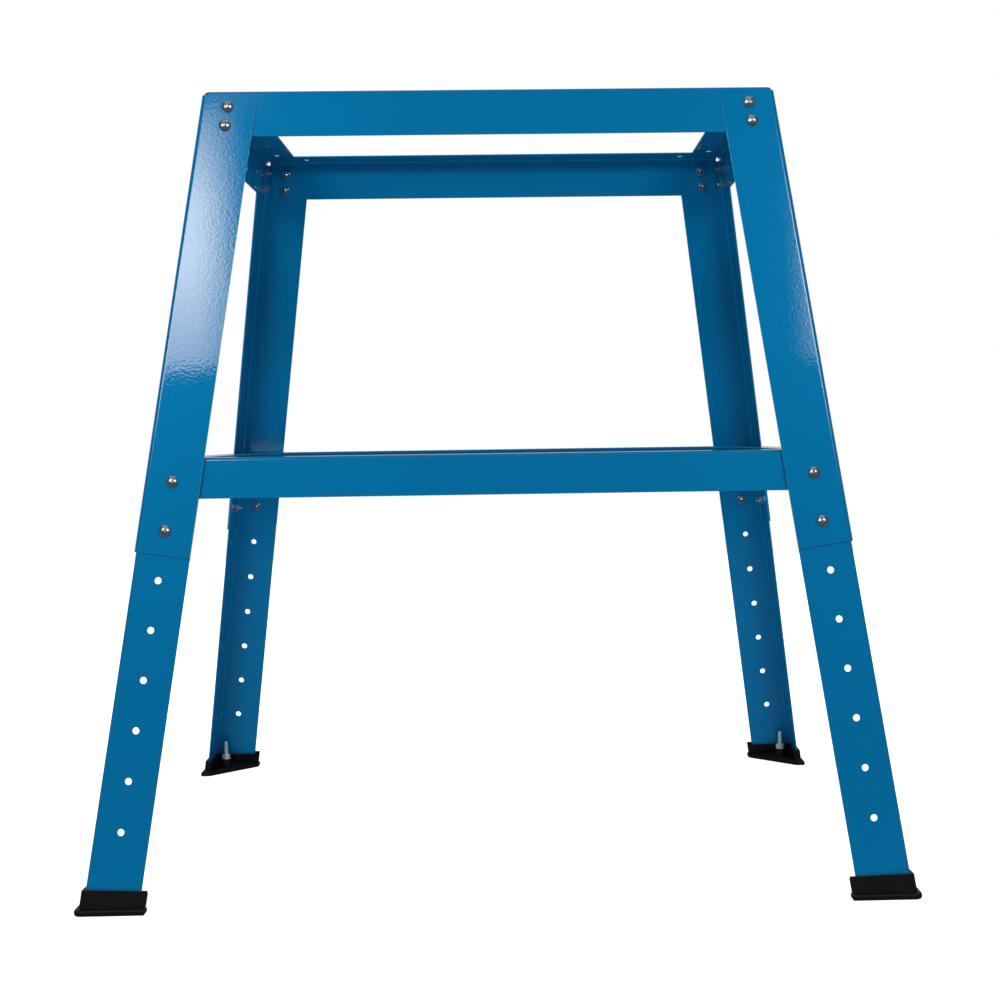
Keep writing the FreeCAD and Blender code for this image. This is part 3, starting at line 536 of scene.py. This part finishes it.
bpy.ops.object.select_all(action="DESELECT")
bpy.ops.mesh.primitive_circle_add(vertices=48, radius=washer_hole, location=(0, 0, boss_top))
washer = bpy.context.object
washer.name = "washer"
bpy.ops.object.transform_apply(location=True, rotation=True, scale=True)
bpy.ops.object.mode_set(mode="EDIT")
bpy.ops.mesh.select_all(action="SELECT")
bpy.ops.mesh.extrude_edges_move()
bpy.ops.transform.resize(value=(washer_radius / washer_hole, washer_radius / washer_hole, 1))
bpy.ops.mesh.select_all(action="SELECT")
bpy.ops.mesh.extrude_region_move(TRANSFORM_OT_translate={"value": (0, 0, washer_thickness)})
bpy.ops.mesh.select_all(action="SELECT")
bpy.ops.mesh.normals_make_consistent(inside=False)
bpy.ops.object.mode_set(mode="OBJECT")
soften(washer, washer_softness, 2)

for number, corner in enumerate(CORNERS):
    mirror = Vector((1 if "left" in corner else -1, 1 if "front" in corner else -1, 1))
    at = Vector((foot_screw_at.x * mirror.x, foot_screw_at.y * mirror.y, 0))
    turn = Matrix.Rotation(math.radians(foot_turn * number), 4, "Z")
    for model, name, lift in ((foot_screw, "foot_screw", 0), (washer, "foot_washer", 0),
                              (nut, "foot_nut", boss_top + washer_thickness + nut_height)):
        copy = bpy.data.objects.new(f"{name}_{corner}_zinc", model.data.copy())
        bpy.context.scene.collection.objects.link(copy)
        copy.data.transform(Matrix.Translation(at + Vector((0, 0, lift))) @ turn)
        finish_piece(copy, dull_zinc, "zinc_plate", f"lower_leg_{corner}_assembly", f"{name}_{corner}")
for model in (nut, foot_screw, washer):
    bpy.data.objects.remove(model)

# ---------------------------------------------------------------- rubber shoes
# Each leg stands in a shoe moulded from black rubber: a level plate with a rolled lip, double walls that
# grip the leg's two flanges, and a ribbed boss for the foot screw. The inner side is open, cut on the slant.

rubber_dark = (0.0028, 0.0029, 0.0032, 1)
rubber_bloom = (0.0050, 0.0050, 0.0054, 1)
rubber_smooth, rubber_rough = 0.42, 0.58
bloom_scale, grain_scale = 60, 1100
grain_depth = 0.00002
plate_left, plate_front = -0.41678, -0.35027
plate_right, plate_back = -0.34689, -0.28019
plate_height = 0.0065
plate_corner = 0.0075
corner_reach = 0.0076
upper_lip, lower_lip = 0.0024, 0.0022
cut_flat = 0.012
wall_lean = Vector((side_lean, front_lean))
wall_left, wall_front = -0.41298, -0.34648
wall_right, wall_back = -0.34888, -0.28219
wall_root = 0.002
wall_corner = 0.0022
wall_overlap = 0.0004
outer_wall = 0.003
grip_gap = 0.00192
grip_floor, grip_top = 0.005, 0.030
double_wall = 0.00792
end_wall = 0.0055
outer_height, inner_height = 0.024, 0.020
fall_to_end = 0.002
boss_foot, boss_tip = 0.0098, 0.007
rib_half = 0.0012
rib_start = 0.0075
rib_root, rib_top = 0.004, 0.013
low_rib_start, low_rib_top = 0.004, 0.0128
low_rib_fall = 0.0056
low_rib_lengths = {0: 0.0165, 45: 0.0172, 90: 0.0165}
screw_hole = 0.0032
head_recess = 0.0065
drill_below, drill_above = -0.001, 0.02
shoe_softness = 0.0005

rubber, tree, shader, place = start_material("black_rubber")
shader.inputs["Specular IOR Level"].default_value = 0.22
bloom = noise(tree, place, bloom_scale, 4)
tint_by(tree, bloom, rubber_dark, rubber_bloom, shader)
feed(tree, ramp(tree, bloom, 0, 1, rubber_smooth, rubber_rough), shader.inputs["Roughness"])
bump_by(tree, noise(tree, place, grain_scale), grain_depth, shader.inputs["Normal"])


def block(name, low, high, lean=(0, 0)):
    """A box from low to high, whose upper part leans as far as the leg does."""
    low, high = Vector(low), Vector(high)
    bpy.ops.object.select_all(action="DESELECT")
    bpy.ops.mesh.primitive_cube_add(size=1, location=(low + high) / 2, scale=high - low)
    piece = bpy.context.object
    piece.name = name
    bpy.ops.object.transform_apply(location=True, rotation=True, scale=True)
    bpy.ops.object.mode_set(mode="EDIT")
    for height in (low.z, high.z):
        choose(piece, lambda point: abs(point.z - height) < 0.00001)
        bpy.ops.transform.translate(value=(lean[0] * height, lean[1] * height, 0))
    bpy.ops.object.mode_set(mode="OBJECT")
    return piece


def near(a, b):
    """Whether two lengths are the same within 0.02 mm."""
    return abs(a - b) < 0.00002


def bevel_edges(piece, test, width, segments):
    """Round the edges whose two ends pass the test."""
    pick(piece)
    bpy.ops.object.mode_set(mode="EDIT")
    choose(piece, test, "EDGE")
    bpy.ops.mesh.bevel(offset=width, segments=segments, affect="EDGES")
    bpy.ops.object.mode_set(mode="OBJECT")


def on_rim(height):
    """A test for the plate's outer rim at a height, which leaves out the edge of the slanting cut."""
    return lambda point: near(point.z, height) and (
        point.x < plate_left + corner_reach or point.y < plate_front + corner_reach
        or near(point.x, plate_right) or near(point.y, plate_back))


def on_wall_corner(point):
    """Whether a point lies on the outer wall's leaning corner edge, within 0.2 mm."""
    edge = Vector((wall_left + side_lean * point.z, wall_front + front_lean * point.z, point.z))
    return (point - edge).length < 0.0002


def wall(name, low_offset, high_offset, bottom, top, end_short, fall):
    """An L of two leaning walls between two offsets from the outer faces, lower at its far ends by a fall."""
    near_x, near_y = wall_left + low_offset, wall_front + low_offset
    far_x, far_y = wall_left + high_offset, wall_front + high_offset
    arm = block(name, (near_x, near_y, bottom), (wall_right - end_short, far_y, top), wall_lean)
    other = block("arm", (near_x, near_y, bottom), (far_x, wall_back - end_short, top), wall_lean)
    if fall:
        for piece, axis, end in ((arm, 0, wall_right - end_short), (other, 1, wall_back - end_short)):
            pick(piece)
            bpy.ops.object.mode_set(mode="EDIT")
            choose(piece, lambda point: point.z > top - 0.0001 and point[axis] > end)
            bpy.ops.transform.translate(value=(0, 0, -fall))
            bpy.ops.object.mode_set(mode="OBJECT")
    combine(arm, other, "UNION")
    return arm


shoe = block("shoe", (plate_left, plate_front, 0), (plate_right, plate_back, plate_height))
bpy.ops.object.mode_set(mode="EDIT")
bpy.ops.mesh.select_all(action="SELECT")
cut = Vector((plate_left + cut_flat - plate_right, plate_back - plate_front - cut_flat, 0))
bpy.ops.mesh.bisect(plane_co=(plate_right, plate_front + cut_flat, 0), plane_no=cut.cross(Vector((0, 0, 1))),
                    use_fill=True, clear_outer=True)
bpy.ops.object.mode_set(mode="OBJECT")
bevel_edges(shoe, lambda point: near(point.x, plate_left) and near(point.y, plate_front), plate_corner, 6)
bevel_edges(shoe, on_rim(plate_height), upper_lip, 4)
bevel_edges(shoe, on_rim(0), lower_lip, 4)

outer = wall("outer", 0, outer_wall + wall_overlap, wall_root, outer_height, 0, fall_to_end)
cleaned(outer)
bevel_edges(outer, on_wall_corner, wall_corner, 4)
inner = wall("inner", outer_wall, double_wall, wall_root, inner_height, 0, fall_to_end / 2)
combine(shoe, outer, "UNION")
combine(shoe, inner, "UNION")

bpy.ops.object.select_all(action="DESELECT")
bpy.ops.mesh.primitive_cone_add(vertices=40, radius1=boss_foot, radius2=boss_tip, depth=boss_top,
                                location=foot_screw_at + Vector((0, 0, boss_top / 2)))
boss = bpy.context.object
bpy.ops.object.transform_apply(location=True, rotation=True, scale=True)
combine(shoe, boss, "UNION")
x, y = foot_screw_at.x, foot_screw_at.y
for low, high in (((wall_left + rib_start, y - rib_half, rib_root), (x, y + rib_half, rib_top)),
                  ((x - rib_half, wall_front + rib_start, rib_root), (x + rib_half, y, rib_top))):
    combine(shoe, block("rib", low, high), "UNION")
for turn, length in low_rib_lengths.items():
    low_rib = block("low_rib", (low_rib_start, -rib_half, rib_root), (length, rib_half, low_rib_top))
    bpy.ops.object.mode_set(mode="EDIT")
    choose(low_rib, lambda point: point.x > 0.01 and point.z > 0.01)
    bpy.ops.transform.translate(value=(0, 0, -low_rib_fall))
    bpy.ops.object.mode_set(mode="OBJECT")
    low_rib.data.transform(Matrix.Translation(foot_screw_at) @ Matrix.Rotation(math.radians(turn), 4, "Z"))
    combine(shoe, low_rib, "UNION")
grip = wall("grip", outer_wall, outer_wall + grip_gap, grip_floor, grip_top, end_wall, 0)
combine(shoe, grip, "DIFFERENCE")
for radius, high in ((screw_hole, drill_above), (head_recess, foot_head_top)):
    bpy.ops.object.select_all(action="DESELECT")
    bpy.ops.mesh.primitive_cylinder_add(vertices=40, radius=radius, depth=high - drill_below,
                                        location=foot_screw_at + Vector((0, 0, (drill_below + high) / 2)))
    drill = bpy.context.object
    bpy.ops.object.transform_apply(location=True, rotation=True, scale=True)
    combine(shoe, drill, "DIFFERENCE")
cleaned(shoe)

for corner in CORNERS:
    copy = bpy.data.objects.new(f"foot_shoe_{corner}_rubber", shoe.data.copy())
    bpy.context.scene.collection.objects.link(copy)
    mirror = (1 if "left" in corner else -1, 1 if "front" in corner else -1, 1, 1)
    copy.data.transform(Matrix.Diagonal(mirror))
    pick(copy)
    bpy.ops.object.mode_set(mode="EDIT")
    bpy.ops.mesh.select_all(action="SELECT")
    bpy.ops.mesh.normals_make_consistent(inside=False)
    bpy.ops.object.mode_set(mode="OBJECT")
    soften(copy, shoe_softness, 2)
    finish_piece(copy, rubber, "black_rubber", f"lower_leg_{corner}_assembly", f"foot_shoe_{corner}")
bpy.data.objects.remove(shoe)

# ---------------------------------------------------------------- floor, light and camera
# A pale paper sweep under and behind the stand, in a dim room. Two wide soft boxes stand in front of it at
# either side, above the height of its top. A weak one above the left box reaches a little further in.

floor_size, floor_middle = 7, (0, 0.6, 0)
floor_grey, floor_grey_mirrored = 0.90, 0.06
floor_glow_near, floor_glow_far = 0.78, 1.0
glow_near_reach, glow_far_reach = 0.55, 1.1
floor_glow_mirrored = 0.06
floor_glow_upward = 0.5
paper_end, paper_end_blur = -0.45, 0.05
glow_past_paper = 0.1


def reckon(tree, operation, *values):
    """A sum of other nodes' outputs and plain numbers."""
    node = tree.nodes.new("ShaderNodeMath")
    node.operation = operation
    for value, slot in zip(values, node.inputs):
        feed(tree, value, slot)
    return node.outputs[0]


def blend(tree, amount, value, other):
    """A number somewhere between two others."""
    factor, first, second, result = 0, 2, 3, 0
    node = tree.nodes.new("ShaderNodeMix")
    for number, slot in ((amount, factor), (value, first), (other, second)):
        feed(tree, number, node.inputs[slot])
    return node.outputs[result]


bpy.ops.object.select_all(action="DESELECT")
bpy.ops.mesh.primitive_plane_add(size=floor_size, location=floor_middle)
floor = bpy.context.object
floor.name = "floor"
bpy.ops.object.transform_apply(location=True, rotation=True, scale=True)
floor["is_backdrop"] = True

paper = bpy.data.materials.new("paper_sweep")
paper.use_nodes = True
tree = paper.node_tree
tree.nodes.clear()
path = tree.nodes.new("ShaderNodeLightPath").outputs
place = tree.nodes.new("ShaderNodeTexCoord").outputs["Object"]
away = tree.nodes.new("ShaderNodeVectorMath")
away.operation = "LENGTH"
tree.links.new(place, away.inputs[0])
axes = tree.nodes.new("ShaderNodeSeparateXYZ")
tree.links.new(place, axes.inputs[0])
on_paper = ramp(tree, axes.outputs["Y"], paper_end - paper_end_blur, paper_end + paper_end_blur,
                glow_past_paper)
mirrored = reckon(tree, "MAXIMUM", path["Is Glossy Ray"], path["Is Transmission Ray"])
seen_glow = ramp(tree, away.outputs["Value"], glow_near_reach, glow_far_reach, floor_glow_near, floor_glow_far)
strength = reckon(tree, "MULTIPLY", seen_glow, path["Is Camera Ray"])
for ray, part_of_glow in ((mirrored, floor_glow_mirrored), (path["Is Diffuse Ray"], floor_glow_upward)):
    strength = reckon(tree, "MULTIPLY_ADD", reckon(tree, "MULTIPLY", ray, on_paper), part_of_glow, strength)
glow = tree.nodes.new("ShaderNodeEmission")
tree.links.new(strength, glow.inputs["Strength"])
matt = tree.nodes.new("ShaderNodeBsdfDiffuse")
tree.links.new(ramp(tree, mirrored, 0, 1, floor_grey, floor_grey_mirrored), matt.inputs["Color"])
both = tree.nodes.new("ShaderNodeAddShader")
tree.links.new(glow.outputs[0], both.inputs[0])
tree.links.new(matt.outputs[0], both.inputs[1])
tree.links.new(both.outputs[0], tree.nodes.new("ShaderNodeOutputMaterial").inputs["Surface"])
floor.data.materials.append(paper)

# each pair is a direction's height or depth, and how bright the room is there
room_low, room_high = (-0.1, 0.05), (0.4, 0.55)
sweep_low, sweep_high = (0.2, 0.04), (0.6, 0.5)
ceiling_low, ceiling_high = (0.75, 0.0), (0.92, 0.3)
background = 1.0

world = bpy.data.worlds.new("studio")
bpy.context.scene.world = world
world.use_nodes = True
tree = world.node_tree
tree.nodes.clear()
path = tree.nodes.new("ShaderNodeLightPath").outputs
axes = tree.nodes.new("ShaderNodeSeparateXYZ")
tree.links.new(tree.nodes.new("ShaderNodeTexCoord").outputs["Generated"], axes.inputs[0])
room = ramp(tree, axes.outputs["Z"], room_low[0], room_high[0], room_low[1], room_high[1])
sweep = ramp(tree, axes.outputs["Y"], sweep_low[0], sweep_high[0], sweep_low[1], sweep_high[1])
ceiling = ramp(tree, axes.outputs["Z"], ceiling_low[0], ceiling_high[0], ceiling_low[1], ceiling_high[1])
shiny = reckon(tree, "MAXIMUM", path["Is Glossy Ray"], path["Is Transmission Ray"])
lit_or_mirrored = blend(tree, shiny, room, reckon(tree, "MAXIMUM", sweep, ceiling))
sky = tree.nodes.new("ShaderNodeBackground")
sky.inputs["Color"].default_value = (1, 1, 1, 1)
tree.links.new(blend(tree, path["Is Camera Ray"], lit_or_mirrored, background), sky.inputs["Strength"])
tree.links.new(sky.outputs[0], tree.nodes.new("ShaderNodeOutputWorld").inputs["Surface"])

# name, radiance, side, inner edge, width, tallness, height of its middle
soft_boxes = (("left", 13.2, -1, 0.595, 1.5, 0.68, 1.637),
              ("right", 12.6, 1, 0.69, 1.5, 0.68, 1.64),
              ("left_spill", 1.3, -1, 0.57, 1.6, 1.5, 2.70))
box_reach = 2.2
box_lean = math.radians(3)
box_colour = (1, 0.93, 0.85)
low_part, low_dim = 0.4, 0.42
high_part, high_dim = 0.62, 0.3
rim_part = 0.10
outer_part, outer_dim = 0.5, 0.30

for name, radiance, side, inner_edge, wide, tall, height in soft_boxes:
    lamp = bpy.data.lights.new(f"soft_box_{name}", "AREA")
    lamp.shape = "RECTANGLE"
    lamp.size = wide
    lamp.size_y = tall
    lamp.color = box_colour
    lamp.energy = radiance * wide * tall * math.pi
    lamp.use_nodes = True
    tree = lamp.node_tree
    spot = tree.nodes.new("ShaderNodeSeparateXYZ")
    tree.links.new(tree.nodes.new("ShaderNodeNewGeometry").outputs["Parametric"], spot.inputs[0])
    across, up = spot.outputs["X"], spot.outputs["Y"]
    outer, inner = (0.0, 1.0) if side < 0 else (1.0, 0.0)
    upward = reckon(tree, "MULTIPLY", ramp(tree, up, 0, low_part, low_dim),
                    ramp(tree, up, high_part, 1, 1, high_dim))
    sideways = reckon(tree, "MULTIPLY", ramp(tree, across, inner, inner + side * rim_part, smooth=True),
                      ramp(tree, across, outer, outer_part, outer_dim))
    tree.links.new(reckon(tree, "MULTIPLY", upward, sideways), tree.nodes["Emission"].inputs["Strength"])
    box = bpy.data.objects.new(f"soft_box_{name}", lamp)
    box.location = (side * (inner_edge + wide / 2 * math.cos(box_lean)), -box_reach,
                    height - wide / 2 * math.sin(box_lean))
    box.rotation_euler = (math.radians(90), side * box_lean, 0)
    bpy.context.scene.collection.objects.link(box)

eye = Vector((0.0194, -1.8540, 0.8200 - 0.3582))
yaw, pitch, roll = 0.0226, -0.0669, 0.0140
focal_pixels = 1563.6
centre_pixels = (550, 540)
picture_pixels = 1000
sensor_width = 36

forward = Vector((math.sin(yaw) * math.cos(pitch), math.cos(yaw) * math.cos(pitch), math.sin(pitch)))
level_right = Vector((math.cos(yaw), -math.sin(yaw), 0))
level_down = forward.cross(level_right)
right = math.cos(roll) * level_right + math.sin(roll) * level_down
down = math.cos(roll) * level_down - math.sin(roll) * level_right
camera = bpy.data.objects.new("camera", bpy.data.cameras.new("camera"))
camera.data.sensor_width = sensor_width
camera.data.lens = focal_pixels * sensor_width / picture_pixels
camera.data.shift_x = (picture_pixels / 2 - centre_pixels[0]) / picture_pixels
camera.data.shift_y = (centre_pixels[1] - picture_pixels / 2) / picture_pixels
camera.matrix_world = Matrix((
    (right.x, -down.x, -forward.x, eye.x),
    (right.y, -down.y, -forward.y, eye.y),
    (right.z, -down.z, -forward.z, eye.z),
    (0, 0, 0, 1),
))
bpy.context.scene.collection.objects.link(camera)
bpy.context.scene.camera = camera
bpy.context.scene.view_settings.view_transform = "Standard"

low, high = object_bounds()
